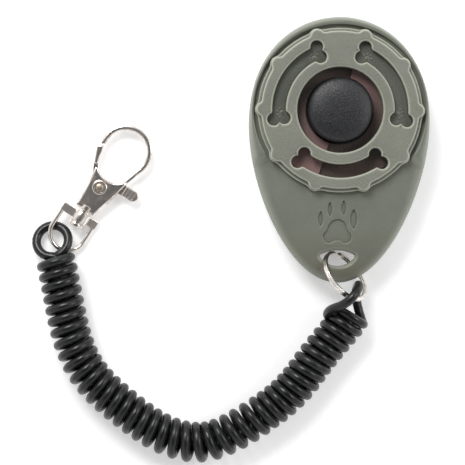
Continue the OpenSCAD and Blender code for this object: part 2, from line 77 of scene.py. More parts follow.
# ---------------------------------------------------------------- materials
class Nodes:
    """Short names for building one node material."""

    def __init__(self, name):
        self.mat = bpy.data.materials.new(name)
        self.mat.use_nodes = True
        self.tree = self.mat.node_tree
        self.shader = self.tree.nodes["Principled BSDF"]
        self.coord = self.add("ShaderNodeTexCoord").outputs["Object"]

    def add(self, kind, **values):
        node = self.tree.nodes.new(kind)
        for key, value in values.items():
            setattr(node, key, value)
        return node

    def link(self, a, b):
        self.tree.links.new(a, b)

    def noise(self, scale, detail=3.0, rough=0.55, stretch=None):
        node = self.add("ShaderNodeTexNoise")
        node.inputs["Scale"].default_value = scale
        node.inputs["Detail"].default_value = detail
        node.inputs["Roughness"].default_value = rough
        source = self.coord
        if stretch:
            mapping = self.add("ShaderNodeMapping")
            mapping.inputs["Scale"].default_value = stretch
            self.link(source, mapping.inputs["Vector"])
            source = mapping.outputs["Vector"]
        self.link(source, node.inputs["Vector"])
        return node.outputs["Fac"]

    def cells(self, scale):
        node = self.add("ShaderNodeTexVoronoi")
        node.inputs["Scale"].default_value = scale
        self.link(self.coord, node.inputs["Vector"])
        return node.outputs["Distance"]

    def span(self, value, a, b, c, d):
        node = self.add("ShaderNodeMapRange")
        for key, number in zip(("From Min", "From Max", "To Min", "To Max"), (a, b, c, d)):
            node.inputs[key].default_value = number
        self.link(value, node.inputs["Value"])
        return node.outputs["Result"]

    def mix(self, factor, a, b):
        node = self.add("ShaderNodeMix", data_type="RGBA")
        self.link(factor, node.inputs[0])
        for socket, value in ((node.inputs[6], a), (node.inputs[7], b)):
            if isinstance(value, tuple):
                socket.default_value = value
            else:
                self.link(value, socket)
        return node.outputs[2]

    def axis(self, name):
        node = self.add("ShaderNodeSeparateXYZ")
        self.link(self.coord, node.inputs[0])
        return node.outputs[name]

    def edges(self, a=0.985, b=0.72):
        """Mask for the painted rim highlight: 1 on rounded rims, 0 on level faces and upright walls."""
        split = self.add("ShaderNodeSeparateXYZ")
        self.link(self.add("ShaderNodeNewGeometry").outputs["Normal"], split.inputs[0])
        up = split.outputs["Z"]
        both = self.add("ShaderNodeMath", operation="MULTIPLY")
        self.link(self.span(up, a, b, 0.0, 1.0), both.inputs[0])
        self.link(self.span(up, 0.05, 0.35, 0.0, 1.0), both.inputs[1])
        return both.outputs[0]

    def bump(self, height, strength, distance, before=None):
        node = self.add("ShaderNodeBump")
        node.inputs["Strength"].default_value = strength
        node.inputs["Distance"].default_value = distance
        self.link(height, node.inputs["Height"])
        if before is not None:
            self.link(before, node.inputs["Normal"])
        return node.outputs["Normal"]

    def finish(self, colour, rough, normal=None, **fixed):
        self.link(colour, self.shader.inputs["Base Color"])
        self.link(rough, self.shader.inputs["Roughness"])
        if normal is not None:
            self.link(normal, self.shader.inputs["Normal"])
        for key, value in fixed.items():
            self.shader.inputs[key.replace("_", " ")].default_value = value
        return self.mat


def rgb(r, g, b):
    """Display colour 0-255 as linear light."""
    return tuple(((v / 255.0 + 0.055) / 1.055) ** 2.4 for v in (r, g, b)) + (1.0,)


def moulded(name, base, light, dark, grain, depth, rough, tip=None, edge=None, spec=0.4):
    """Moulded plastic: slow colour drift, spark-eroded grain, and the edge colour painted on rounded rims as
    a highlight.
    """
    m = Nodes(name)
    slow = m.span(m.noise(90.0, 4.0), 0.35, 0.65, 0.0, 1.0)
    fine = m.noise(grain, 3.0, 0.7)
    pits = m.cells(grain * 0.7)
    colour = m.mix(slow, base, dark)
    colour = m.mix(m.span(fine, 0.52, 0.74, 0.0, 0.75), colour, light)
    if tip:
        colour = m.mix(m.span(m.axis("Y"), -0.019, -0.034, 0.0, 0.8), colour, tip)
    # the edge colour is a painted highlight, laid on the rounded rims where light would catch them
    if edge:
        colour = m.mix(m.edges(), colour, edge)
    normal = m.bump(fine, 0.6, depth)
    normal = m.bump(pits, 0.35, depth, normal)
    return m.finish(colour, m.span(m.noise(grain * 0.3, 4.0), 0.3, 0.7, rough - 0.07, rough + 0.09),
                    normal, Specular_IOR_Level=spec)


def metal(name, base, dark, rough, scratch=9000.0, stretch=(1.0, 0.15, 1.0)):
    """Plated metal: faint polishing lines, small pits and a duller patina in places."""
    m = Nodes(name)
    patch = m.span(m.noise(420.0, 5.0, 0.65), 0.42, 0.68, 0.0, 1.0)
    lines = m.noise(scratch, 3.0, 0.6, stretch)
    colour = m.mix(patch, base, dark)
    normal = m.bump(lines, 0.10, 0.00002)
    normal = m.bump(m.noise(2600.0, 4.0, 0.7), 0.16, 0.00005, normal)
    return m.finish(colour, m.span(patch, 0.0, 1.0, rough, rough + 0.14), normal, Metallic=1.0)


# each edge colour below is a painted highlight on the rounded rims
COVER = moulded("cover_plastic", rgb(109, 112, 101), rgb(124, 127, 116), rgb(103, 106, 96), 5200.0,
                0.00004, 0.36, tip=rgb(92, 89, 76), edge=rgb(134, 137, 125))
DIAL = moulded("dial_plastic", rgb(116, 118, 107), rgb(144, 146, 134), rgb(106, 108, 98), 3600.0,
               0.00014, 0.38, edge=rgb(172, 174, 158))
# the inlay base is darker than the dial plastic, as painted shade for the recess the inlays sit in
INLAY = moulded("inlay_plastic", rgb(84, 86, 78), rgb(118, 120, 110), rgb(72, 74, 67), 3300.0,
                0.00014, 0.46, edge=rgb(128, 130, 118))
BUTTON = moulded("button_plastic", rgb(20, 20, 22), rgb(66, 68, 74), rgb(15, 15, 17), 4200.0,
                 0.00013, 0.33, spec=0.5)
GUIDE = moulded("guide_plastic", rgb(222, 219, 208), rgb(232, 230, 220), rgb(212, 208, 196), 2400.0,
                0.00003, 0.5)
PAD = moulded("pad_rubber", rgb(42, 42, 43), rgb(62, 62, 63), rgb(34, 34, 35), 3800.0, 0.00006, 0.75)
NICKEL = metal("nickel_plate", (0.90, 0.85, 0.80, 1.0), (0.56, 0.49, 0.44, 1.0), 0.19)
SPRING = metal("spring_steel", (0.56, 0.57, 0.57, 1.0), (0.42, 0.42, 0.41, 1.0), 0.22)
SCREW = metal("screw_steel", (0.62, 0.61, 0.59, 1.0), (0.44, 0.43, 0.41, 1.0), 0.26)
RIVET = metal("rivet_brass", (0.62, 0.53, 0.42, 1.0), (0.45, 0.37, 0.29, 1.0), 0.30)


def smoke():
    """Smoked glossy plastic: browner and paler where the ramps stand high, as light comes through."""
    m = Nodes("smoked_plastic")
    high = m.span(m.axis("Z"), 0.0094, 0.00984, 0.0, 1.0)
    drift = m.span(m.noise(260.0, 3.0), 0.3, 0.7, 0.0, 1.0)
    colour = m.mix(drift, rgb(90, 77, 71), rgb(82, 72, 66))
    colour = m.mix(high, colour, rgb(132, 105, 102))
    fine = m.noise(4200.0, 3.0, 0.6)
    return m.finish(colour, m.span(fine, 0.3, 0.7, 0.22, 0.34), m.bump(fine, 0.25, 0.00003),
                    Coat_Weight=0.5, Coat_Roughness=0.12)


def cord_plastic():
    """Dark extruded cord: soft gloss, fine surface bumps, slight bloom and dust."""
    m = Nodes("cord_plastic")
    slow = m.span(m.noise(160.0, 4.0, 0.6), 0.35, 0.7, 0.0, 1.0)
    dust = m.noise(3400.0, 4.0, 0.65)
    colour = m.mix(slow, rgb(12, 13, 13), rgb(22, 23, 23))
    colour = m.mix(m.span(dust, 0.6, 0.78, 0.0, 0.35), colour, rgb(66, 67, 67))
    normal = m.bump(dust, 0.16, 0.00004)
    normal = m.bump(m.noise(700.0, 3.0), 0.35, 0.00016, normal)
    return m.finish(colour, m.span(slow, 0.0, 1.0, 0.26, 0.36), normal, Specular_IOR_Level=0.42)


SMOKE = smoke()
CORD = cord_plastic()


# ---------------------------------------------------------------- mesh tools
def build(name, verts, faces, mat, sharp=38.0):
    mesh = bpy.data.meshes.new(name)
    points = np.asarray(verts, dtype=float) * MM
    mesh.from_pydata([tuple(p) for p in points], [], [tuple(int(i) for i in f) for f in faces])
    work = bmesh.new()
    work.from_mesh(mesh)
    bmesh.ops.remove_doubles(work, verts=work.verts, dist=2e-7)
    bmesh.ops.recalc_face_normals(work, faces=work.faces)
    work.to_mesh(mesh)
    work.free()
    mesh.shade_smooth()
    mesh.set_sharp_from_angle(angle=rad(sharp))
    mesh.materials.append(mat)
    obj = bpy.data.objects.new(name, mesh)
    scene.collection.objects.link(obj)
    return obj


def combine(obj, others, operation, sharp=38.0):
    """Boolean with each of the others, applied to the mesh."""
    for other in others:
        step = obj.modifiers.new("step", "BOOLEAN")
        step.operation = operation
        step.solver = "EXACT"
        step.object = other
    bpy.context.view_layer.update()
    graph = bpy.context.evaluated_depsgraph_get()
    mesh = bpy.data.meshes.new_from_object(obj.evaluated_get(graph))
    obj.modifiers.clear()
    old = obj.data
    obj.data = mesh
    mesh.name = old.name
    bpy.data.meshes.remove(old)
    for other in others:
        bpy.data.objects.remove(other)
    work = bmesh.new()
    work.from_mesh(mesh)
    bmesh.ops.remove_doubles(work, verts=work.verts, dist=2e-6)
    bmesh.ops.dissolve_degenerate(work, edges=work.edges, dist=1e-6)
    work.to_mesh(mesh)
    work.free()
    mesh.shade_smooth()
    mesh.set_sharp_from_angle(angle=rad(sharp))
    return obj


def settle(obj, body, nodes):
    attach(obj, body)
    if nodes:
        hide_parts(*nodes)
    return obj


def skin(rings, loop=False):
    n, m = len(rings[0]), len(rings)
    last = m if loop else m - 1
    faces = [(i * n + j, i * n + (j + 1) % n, ((i + 1) % m) * n + (j + 1) % n, ((i + 1) % m) * n + j)
             for i in range(last) for j in range(n)]
    if not loop:
        faces.append(tuple(reversed(range(n))))
        faces.append(tuple((m - 1) * n + j for j in range(n)))
    return np.concatenate(rings), faces


def inset(loop, d):
    """Closed outline moved to its left, into the material, by d."""
    t = np.roll(loop, -1, 0) - np.roll(loop, 1, 0)
    t /= np.linalg.norm(t, axis=1)[:, None]
    return loop + d * np.stack([-t[:, 1], t[:, 0]], 1)


def fill(loops):
    """Triangles between closed outlines, as indices into all their points in order."""
    points = np.array([p for loop in loops for p in loop])
    edges, base = [], 0
    for loop in loops:
        n = len(loop)
        edges += [(base + i, base + (i + 1) % n) for i in range(n)]
        base += n
    coords = [Vector((p[0], p[1])) for p in points]
    made, _, tris, origin, _, _ = delaunay_2d_cdt(coords, edges, [], 0, 1e-7)
    same = [o[0] if o else int(np.hypot(*(points - np.array(p)).T).argmin()) for p, o in zip(made, origin)]
    a, b = points[[e[0] for e in edges]], points[[e[1] for e in edges]]
    out = []
    for tri in tris:
        ids = [same[i] for i in tri]
        x, y = points[ids].mean(axis=0)
        cross = ((a[:, 1] > y) != (b[:, 1] > y)) & (
            x < a[:, 0] + (y - a[:, 1]) * (b[:, 0] - a[:, 0]) / (b[:, 1] - a[:, 1] + 1e-15))
        if cross.sum() % 2 and len(set(ids)) == 3:
            out.append(ids)
    return out


def plate(loops, profile):
    """Solid from outlines (holes run clockwise) through (inset, height) steps, bottom to top."""
    verts, faces, ends = [], [], ([], [])
    for loop in loops:
        n, base = len(loop), len(verts)
        for d, z in profile:
            ring = inset(loop, d)
            zs = z(ring) if callable(z) else np.full(n, z)
            verts.extend(np.column_stack([ring, zs]))
        m = len(profile)
        faces += [(base + i * n + j, base + i * n + (j + 1) % n, base + (i + 1) * n + (j + 1) % n,
                   base + (i + 1) * n + j) for i in range(m - 1) for j in range(n)]
        ends[0].append(range(base, base + n))
        ends[1].append(range(base + (m - 1) * n, base + m * n))
    for rows in ends:
        index = [i for row in rows for i in row]
        faces += [tuple(index[i] for i in tri) for tri in fill([[verts[i][:2] for i in row] for row in rows])]
    return verts, faces


def rounded(z0, z1, r, steps=4, foot=None):
    """Plate profile with rounded rims; the close pair at each face keeps the flats flat."""
    low = r if foot is None else foot
    out = [(low + 0.04, z0), (low, z0)]
    out += [(low * (1 - math.sin(rad(90.0 * i / steps))), z0 + low * (1 - math.cos(rad(90.0 * i / steps))))
            for i in range(1, steps + 1)]
    out += [(r * (1 - math.cos(rad(90.0 * i / steps))), z1 - r * (1 - math.sin(rad(90.0 * i / steps))))
            for i in range(steps + 1)]
    return out + [(r + 0.04, z1)]


def lathe(profile, centre, n=144, hollow=False):
    """Closed solid of revolution about Z through (radius, height) points; hollow joins the ends."""
    turn = np.radians(np.arange(n) * 360.0 / n)
    rings = [np.column_stack([centre[0] + r * np.cos(turn), centre[1] + r * np.sin(turn),
                              np.full(n, z)]) for r, z in profile]
    return skin(rings, loop=hollow)


def tube(path, radius, k=16, up=None, section=None):
    """Tube with rounded ends carried along a path without twist."""
    path = np.asarray(path, dtype=float)
    t = np.gradient(path, axis=0)
    t /= np.linalg.norm(t, axis=1)[:, None]
    u = np.array(up if up is not None else (0.0, 0.0, 1.0), dtype=float)
    a = np.radians(np.arange(k) * 360.0 / k)
    shape = section if section is not None else np.column_stack([np.cos(a), np.sin(a)]) * radius
    rings = []
    frames = []
    for p, d in zip(path, t):
        u = u - d * u.dot(d)
        u /= np.linalg.norm(u)
        frames.append((p, d, u.copy(), np.cross(d, u)))
    for end, sign in ((0, -1.0), (-1, 1.0)):
        p, d, e, w = frames[end]
        caps = [p + sign * d * radius * math.sin(rad(q)) + math.cos(rad(q))
                * (shape[:, :1] * e + shape[:, 1:] * w) for q in (80.0, 55.0, 28.0)]
        if end == 0:
            rings = caps
        else:
            tail = caps[::-1]
    rings += [p + shape[:, :1] * e + shape[:, 1:] * w for p, d, e, w in frames] + tail
    return skin(rings)


def smooth_path(points, k):
    """Catmull-Rom points between given ones."""
    p = np.asarray(points, dtype=float)
    p = np.vstack([2 * p[0] - p[1], p, 2 * p[-1] - p[-2]])
    out = []
    for i in range(1, len(p) - 2):
        for s in range(k):
            t = s / k
            out.append(0.5 * (2 * p[i] + (p[i + 1] - p[i - 1]) * t
                              + (2 * p[i - 1] - 5 * p[i] + 4 * p[i + 1] - p[i + 2]) * t * t
                              + (3 * p[i] - p[i - 1] - 3 * p[i + 1] + p[i + 2]) * t ** 3))
    return np.array(out + [p[-2]])


# outlines from distance fields, so that every corner gets its moulded fillet
def disc(x, y, cx, cy, r):
    return np.hypot(x - cx, y - cy) - r


def poly(x, y, pts):
    d = np.full(np.shape(x), 1e9)
    s = np.ones(np.shape(x))
    for (ax, ay), (bx, by) in zip(pts, pts[1:] + pts[:1]):
        ex, ey = bx - ax, by - ay
        wx, wy = x - ax, y - ay
        h = np.clip((wx * ex + wy * ey) / (ex * ex + ey * ey), 0.0, 1.0)
        d = np.minimum(d, np.hypot(wx - ex * h, wy - ey * h))
        up = (y >= ay) & (y < by) & (ex * wy > ey * wx)
        down = (y < ay) & (y >= by) & (ex * wy < ey * wx)
        s = np.where(up | down, -s, s)
    return s * d


def join(a, b, k=0.3):
    h = np.clip(0.5 + 0.5 * (b - a) / k, 0.0, 1.0)
    return b + (a - b) * h - k * h * (1 - h)


def less(a, b, k=0.15):
    return -join(-a, b, k)


def outlines(field, box, h=0.1, step=0.14, passes=3):
    """Zero lines of a field over box (x0, x1, y0, y1), material on the left."""
    xs, ys = np.arange(box[0], box[1] + h, h), np.arange(box[2], box[3] + h, h)
    f = field(*np.meshgrid(xs, ys, indexing="ij"))
    f = np.where(f == 0.0, 1e-9, f)
    neg = f < 0
    total = neg[:-1, :-1].astype(int) + neg[1:, :-1] + neg[1:, 1:] + neg[:-1, 1:]
    follow, where = {}, {}
    for i, j in zip(*np.nonzero((total > 0) & (total < 4))):
        ring = [(i, j), (i + 1, j), (i + 1, j + 1), (i, j + 1)]
        out, back = [], []
        for q in range(4):
            a, b = ring[q], ring[(q + 1) % 4]
            if neg[a] != neg[b]:
                key = (min(a, b), max(a, b))
                t = f[a] / (f[a] - f[b])
                where[key] = (xs[a[0]] + t * (xs[b[0]] - xs[a[0]]), ys[a[1]] + t * (ys[b[1]] - ys[a[1]]))
                (out if neg[a] else back).append((q, key))
        for q, key in out:
            follow[key] = min(back, key=lambda c: (c[0] - q) % 4)[1]
    loops = []
    while follow:
        key, chain = next(iter(follow)), []
        while key in follow:
            chain.append(where[key])
            key = follow.pop(key)
        p = np.array(chain + chain[:1])
        run = np.concatenate([[0], np.cumsum(np.linalg.norm(np.diff(p, axis=0), axis=1))])
        count = max(12, int(run[-1] / step))
        at = np.arange(count) * run[-1] / count
        p = np.column_stack([np.interp(at, run, p[:, 0]), np.interp(at, run, p[:, 1])])
        for _ in range(passes):
            p = 0.25 * np.roll(p, 1, 0) + 0.5 * p + 0.25 * np.roll(p, -1, 0)
        loops.append(p)
    return sorted(loops, key=len, reverse=True)


# ---------------------------------------------------------------- cord
COIL = [(-70.5, -27.5), (-69, -35), (-66, -48), (-61.5, -57), (-53, -65), (-43, -71.5),
        (-34, -73.5), (-26, -71), (-16, -64.5), (-10, -59), (-4, -51), (2.5, -43), (5.5, -39)]
LOOP = [(6.8, -43.3, 3.8), (6, -41, 3.8), (5.3, -38.4, 3.9), (5, -36.7, 4),
        (5, -35.2, 4.6), (5.2, -34, 6.1), (5.3, -33.5, 8.4), (5.2, -33.9, 10.9), (4.6, -35, 12.8),
        (3.7, -36.2, 13.7), (2.4, -37.5, 13.6), (0.8, -38.6, 12.5), (-0.7, -39.2, 11),
        (-1.8, -39.9, 9.4), (-2.3, -40.7, 7.6), (-2.1, -41.5, 6.0), (-1.0, -42.3, 5.0), (0.4, -43.2, 4.8)]
STRAND = 2.3
COIL_Z = 5.35
WIND = 4.15          # radius of the strand's own line round the coil axis
EYE = (-71.6, -23.5, 2.75)
EYE_R = 4.1          # radius of the strand's own line round the eye
EYE_TILT = 19.0      # how far the eye leans
EYE_TURN = 65.5      # and how far it is turned about the upright axis
FIRST = 0.5          # where the winding starts along the coil's axis
TURNS = 40.7         # and the turn at which it stops
STEP = 2.8 / 22.0    # along the axis from one point of the winding to the next
SPACING = 0.9        # between points of the finished line


def turns(s):
    """Turns counted along the coil: three stretches wound a little tighter or looser."""
    if s < 53:
        return (s - 2.6) / 2.8
    if s < 81:
        return 18.0 + (s - 53) / 3.1
    return 27.0 + (s - 81) / 2.5


def cord_line():
    flat = smooth_path([(x, y, COIL_Z) for x, y in COIL], 24)
    run = np.concatenate([[0], np.cumsum(np.linalg.norm(np.diff(flat, axis=0), axis=1))])
    eye = []
    for a in range(0, 347, 10):
        x, y = EYE_R * math.cos(rad(a)), EYE_R * math.sin(rad(a))
        z = x * math.sin(rad(EYE_TILT))
        x *= math.cos(rad(EYE_TILT))
        c, s = math.cos(rad(EYE_TURN)), math.sin(rad(EYE_TURN))
        eye.append((EYE[0] + x * c + y * s, EYE[1] - x * s + y * c, EYE[2] + z))
    eye += [(-69.6, -27.9, 4.0), (-67.9, -28.0, 4.0)]
    helix = []
    s = FIRST
    while turns(s) < TURNS:
        at = np.array([np.interp(s, run, flat[:, q]) for q in range(3)])
        on = np.array([np.interp(s + 0.6, run, flat[:, q]) for q in range(3)])
        to = np.array([np.interp(s - 0.6, run, flat[:, q]) for q in range(3)])
        t = (on - to) / np.linalg.norm(on - to)
        side = np.array([t[1], -t[0], 0.0])
        a = 2 * math.pi * (turns(s) + 0.5)
        helix.append(at + WIND * (math.cos(a) * np.array([0.0, 0.0, 1.0]) + math.sin(a) * side))
        s += STEP
    start = smooth_path(eye + [helix[0]], 3)
    end = smooth_path([helix[-1]] + LOOP, 5)
    line = np.vstack([start[:-1], np.array(helix)[:-1], end])
    for _ in range(2):
        line[1:-1] = 0.25 * line[:-2] + 0.5 * line[1:-1] + 0.25 * line[2:]
    run = np.concatenate([[0], np.cumsum(np.linalg.norm(np.diff(line, axis=0), axis=1))])
    at = np.linspace(0, run[-1], int(run[-1] / SPACING))
    return np.column_stack([np.interp(at, run, line[:, q]) for q in range(3)])[::-1]


def cord():
    line = cord_line()
    verts, faces = tube(line, STRAND / 2, 14)
    obj = build("wrist_cord", verts, faces, CORD, 80.0)
    settle(obj, "housing", ["cord_coil", "cord_loop", "cord_eye"])
    return obj, line


cord_obj, line = cord()

# ---------------------------------------------------------------- covers
HALF_W, HALF_L, SEAM, FRONT_Z, WALL = 21.97, 33.05, 6.5, 11.2, 1.6
DIAL_Y, RECESS_R, TIP_LIFT, SOLID_Y = 9.7, 21.3, 4.6, -21.5
CENTRE = np.array([0.0, DIAL_Y])
AROUND = np.arange(300) * 1.2


def egg(a):
    c, s = np.cos(np.radians(a)), np.sin(np.radians(a))
    return np.column_stack([s * (HALF_W + 4.7 * c + 0.25 * c ** 2 - 0.35 * c ** 3), HALF_L * c])


def egg_in(a, d):
    t = egg(a + 0.5) - egg(a - 0.5)
    t /= np.linalg.norm(t, axis=1)[:, None]
    return egg(a) + d * np.column_stack([t[:, 1], -t[:, 0]])


def stack(p, z):
    return np.column_stack([p, z if np.ndim(z) else np.full(len(p), z)])


def lift(y):
    return TIP_LIFT * (np.maximum(0, -12 - y) / 21.05) ** 1.6


def face(y):
    return FRONT_Z - 0.5 - 1.9 * (np.maximum(0, -11 - y) / 22) ** 1.5


def half_moon(grow, low, high, flare=0.0):
    """Cutter for the lanyard hole between two heights."""
    def field(x, y):
        return -join(-disc(x, y, 0, -33.6, 8.6 + grow), -disc(x, y, 0, -23.62, 5.28 + grow), 0.5)
    loop = outlines(field, (-8, 8, -32, -20))[0]
    return loop, [(0.0, low), (0.0, high)] if not flare else [
        (0.0, low), (0.0, high - flare), (-0.12 * flare, high - 0.62 * flare),
        (-0.45 * flare, high - 0.25 * flare), (-flare, high)]


def front_cover():
    n = len(AROUND)
    pole = egg(AROUND)
    ray = pole - CENTRE
    rout = np.linalg.norm(ray, axis=1)
    ray /= rout[:, None]
    bevel = np.minimum(3.2, 0.7 * (rout - RECESS_R))
    f = np.degrees(np.arctan2(ray[:, 1], ray[:, 0]))
    e = np.minimum(abs(f + 90), abs(f - 270))
    k = np.clip((e - 54) / 6, 0, 1)
    rim = k * k * (3 - 2 * k)
    inner = egg_in(AROUND, WALL)
    inner[:, 1] = np.maximum(inner[:, 1], SOLID_Y)
    iray = inner - CENTRE
    rin = np.linalg.norm(iray, axis=1)
    iray /= rin[:, None]
    pocket = 2.2 * np.clip((rin - 24) / 4, 0, 1)
    ledge = FRONT_Z - 0.5
    crest = face((pole - ray * bevel[:, None])[:, 1]) + 1.3 * rim
    side = SEAM + 0.4 * (face(pole[:, 1]) + 1.3 * rim - SEAM)
    rings = [stack(CENTRE + 12 * ray, 7.2),
             stack(CENTRE + iray * np.minimum(22.6, rin - 0.3)[:, None], 7.2),
             stack(CENTRE + iray * np.minimum(22.7, rin - 0.2)[:, None], 7.2 + pocket),
             stack(CENTRE + iray * (rin - 0.05)[:, None], 7.2 + pocket),
             stack(inner, SEAM), stack(pole - ray * 0.18, SEAM), stack(pole - ray * 0.05, SEAM + 0.05),
             stack(pole, SEAM + 0.18)]
    for q in np.linspace(0, 90, 13):
        rings.append(stack(pole - ray * (bevel * (1 - math.cos(rad(q))))[:, None],
                           side + (crest - side) * math.sin(rad(q))))
    start = pole - ray * bevel[:, None]
    stop = CENTRE + ray * (RECESS_R + 0.4)
    for s in np.linspace(0.04, 1, 14):
        p = start + (stop - start) * s
        rings.append(stack(p, face(p[:, 1]) + 1.3 * rim))
    for q in (30, 60, 90):
        p = CENTRE + ray * (RECESS_R + 0.4 * (1 - math.sin(rad(q))))
        top = face(p[:, 1]) + 1.3 * rim
        rings.append(stack(p, top - np.minimum(0.4, top - ledge + 0.01) * (1 - math.cos(rad(q)))))
    rings += [stack(CENTRE + (RECESS_R - 0.04) * ray, ledge + 0.1 * rim),
              stack(CENTRE + (RECESS_R - 0.15) * ray, ledge - 0.02), stack(CENTRE + 19.1 * ray, ledge - 0.02),
              stack(CENTRE + 18.95 * ray, ledge - 0.15), stack(CENTRE + 18.9 * ray, 8.6),
              stack(CENTRE + 12 * ray, 8.6)]
    obj = build("cover_front", *skin(rings, loop=True), COVER)
    cutters = []
    loop, prof = half_moon(0.0, 5.0, 13.0)
    cutters.append(build("cut_hole", *plate([loop], prof), COVER))
    mouth, _ = half_moon(0.0, 0, 1)
    steps = [(0.0, 8.0)] + [(-1.3 * (1 - math.cos(rad(q))), lambda p, q=q: face(p[:, 1]) - 1.15
             + 1.2 * math.sin(rad(q))) for q in (0, 15, 30, 45, 60, 75, 90)]
    steps.append((-1.35, lambda p: face(p[:, 1]) + 1.0))
    cutters.append(build("cut_mouth", *plate([mouth], steps), COVER))

    def toe(x, y, cx, cy, w, h):
        r = (w * w + h * h) / (2 * w)
        return -join(-disc(x, y, cx - w + r, cy, r), -disc(x, y, cx + w - r, cy, r), 0.25)

    def pad(x, y):
        f0 = join(disc(x, y, -2.3, -31.4, 1.55), disc(x, y, 1.8, -31.4, 1.55), 0.2)
        f0 = join(f0, disc(x, y, -0.2, -29.4, 2.5), 0.5)
        return join(f0, poly(x, y, [(-3.8, -31.0), (-2.4, -32.3), (1.9, -32.3), (3.3, -31.0), (1.9, -29.0),
                                    (-2.4, -29.0)]), 0.4)
    shapes = [lambda x, y, t=t: toe(x, y, *t) for t in
              ((-4.4, -26.9, 0.7, 2.0), (-2.1, -24.5, 0.65, 1.9), (1.3, -24.1, 0.7, 2.0),
               (3.8, -26.9, 0.95, 2.6))] + [pad]
    for number, shape in enumerate(shapes):
        loop = outlines(shape, (-7, 7, -35, -21), 0.08, 0.12)[0] + CENTRE
        prof = [(0.06, lambda p: face(p[:, 1]) - 0.62), (0.04, lambda p: face(p[:, 1]) - 0.58),
                (0.02, lambda p: face(p[:, 1]) - 0.3), (-0.02, lambda p: face(p[:, 1]) - 0.12),
                (-0.09, lambda p: face(p[:, 1]) - 0.03), (-0.2, lambda p: face(p[:, 1]) + 0.015),
                (-0.22, lambda p: face(p[:, 1]) + 0.6)]
        cutters.append(build(f"cut_paw_{number}", *plate([loop], prof), COVER))
    combine(obj, cutters, "DIFFERENCE")
    settle(obj, "housing", ["front_cover"])


def back_cover():
    def at(p, h):
        low = lift(p[:, 1])
        return stack(p, low + h * (SEAM - low) / SEAM)
    cave = [egg_in(AROUND, d) for d in (WALL, WALL, 2.6, 4.8)]
    for c in cave:
        c[:, 1] = np.maximum(c[:, 1], SOLID_Y)
    rings = [at(s * egg(AROUND), 0.0) for s in (0.15, 0.3, 0.45, 0.6, 0.72)]
    rings += [at(egg_in(AROUND, 4.75), 0.0)]
    rings += [at(egg_in(AROUND, 4.6 * (1 - math.sin(rad(q)))), 4.8 * (1 - math.cos(rad(q))))
              for q in np.linspace(0, 90, 15)]
    rings += [at(egg_in(AROUND, 0.0), SEAM - 0.18), at(egg_in(AROUND, 0.05), SEAM - 0.05),
              at(egg_in(AROUND, 0.18), SEAM), at(cave[0], SEAM), at(cave[1], 4.2), at(cave[2], 2.4),
              at(cave[3], 1.6)] + [at(s * egg(AROUND), 1.6) for s in (0.6, 0.3)]
    obj = build("cover_back", *skin(rings), COVER)
    cutters = []
    loop, prof = half_moon(0.6, -1.0, 8.0)
    cutters.append(build("cut_hole", *plate([loop], prof), COVER))
    for number, (x, y, z) in enumerate([(0, 28, 0), (-15, -0.8, 0), (15, -0.8, 0), (0, -18, 0.7)]):
        prof = [(2.6, -1), (2.6, z - 0.01), (2.25, z + 0.03), (2.08, z + 0.2), (2.05, z + 0.4),
                (2.05, 1.9 + z), (1.1, 1.9 + z), (1.1, 3.4)]
        cutters.append(build(f"cut_screw_{number}", *lathe(prof, (x, y), 64), COVER))
    combine(obj, cutters, "DIFFERENCE")
    settle(obj, "housing", ["back_cover"])


front_cover()
back_cover()


# ---------------------------------------------------------------- dial
BONE_R = 15.1


def bone(x, y, middle):
    """Curved bone, laid out in arc length and height above its middle radius."""
    c, s = math.cos(rad(middle)), math.sin(rad(middle))
    u, v = x * c + y * s, -x * s + y * c
    r, a = np.hypot(u, v), np.degrees(np.arctan2(v, u))
    band = np.maximum(abs(r - BONE_R) - 1.65, (abs(a) - 36) * 0.26)
    for sign in (-1, 1):
        ca, sa = math.cos(rad(38.8)), sign * math.sin(rad(38.8))
        knob = join(disc(u, v, (BONE_R - 1.15) * ca, (BONE_R - 1.15) * sa, 1.55),
                    disc(u, v, (BONE_R + 1.5) * ca, (BONE_R + 1.5) * sa, 1.55), 0.06)
        band = join(band, knob, 0.4)
    return band


def dial_edge(x, y):
    f0 = disc(x, y, 0, 0, 19.5)
    for i in range(10):
        f0 = join(f0, disc(x, y, 19.0 * math.cos(rad(36 * i)), 19.0 * math.sin(rad(36 * i)), 1.75), 0.55)
    return f0


def volume_dial():
    def field(x, y):
        f0 = np.maximum(dial_edge(x, y), -disc(x, y, 0, 0, 10.6))
        for a in (30, 150, 270):
            f0 = np.maximum(f0, -bone(x, y, a))
        return f0
    loops = outlines(field, (-22, 22, -22, 22), 0.1, 0.16, 1)
    prof = [(0.0, 11.0), (0.0, 12.9), (0.03, 13.12), (0.12, 13.32), (0.26, 13.47), (0.44, 13.56),
            (0.62, 13.6), (0.68, 13.6)]
    top = build("dial_body", *plate([p + CENTRE for p in loops], prof), DIAL)

    def under(x, y):
        f0 = np.maximum(disc(x, y, 0, 0, 18.6), -disc(x, y, 0, 0, 10.6))
        return np.maximum(f0, -bone(x, y, 270))
    loops = outlines(under, (-20, 20, -20, 20), 0.12, 0.24)
    base = build("dial_plug", *plate([p + CENTRE for p in loops],
                                     [(0.0, 9.95), (0.0, 10.9), (0.0, 11.05)]), DIAL)
    def low_skirt(x, y):
        f0 = disc(x, y, 0, 0, 20.35)
        for i in range(10):
            f0 = join(f0, disc(x, y, 19.3 * math.cos(rad(36 * i)), 19.3 * math.sin(rad(36 * i)), 1.78), 0.5)
        return np.maximum(f0, -disc(x, y, 0, 0, 18.2))
    loops = outlines(low_skirt, (-22, 22, -22, 22), 0.12, 0.24)
    skirt = [(0.05, 11.0), (0.0, 11.05), (0.0, 11.7), (0.06, 11.9), (0.2, 12.06), (0.4, 12.14), (0.7, 12.15)]
    combine(top, [base, build("dial_skirt", *plate([p + CENTRE for p in loops], skirt), DIAL)], "UNION")
    settle(top, "dial", ["volume_dial"])


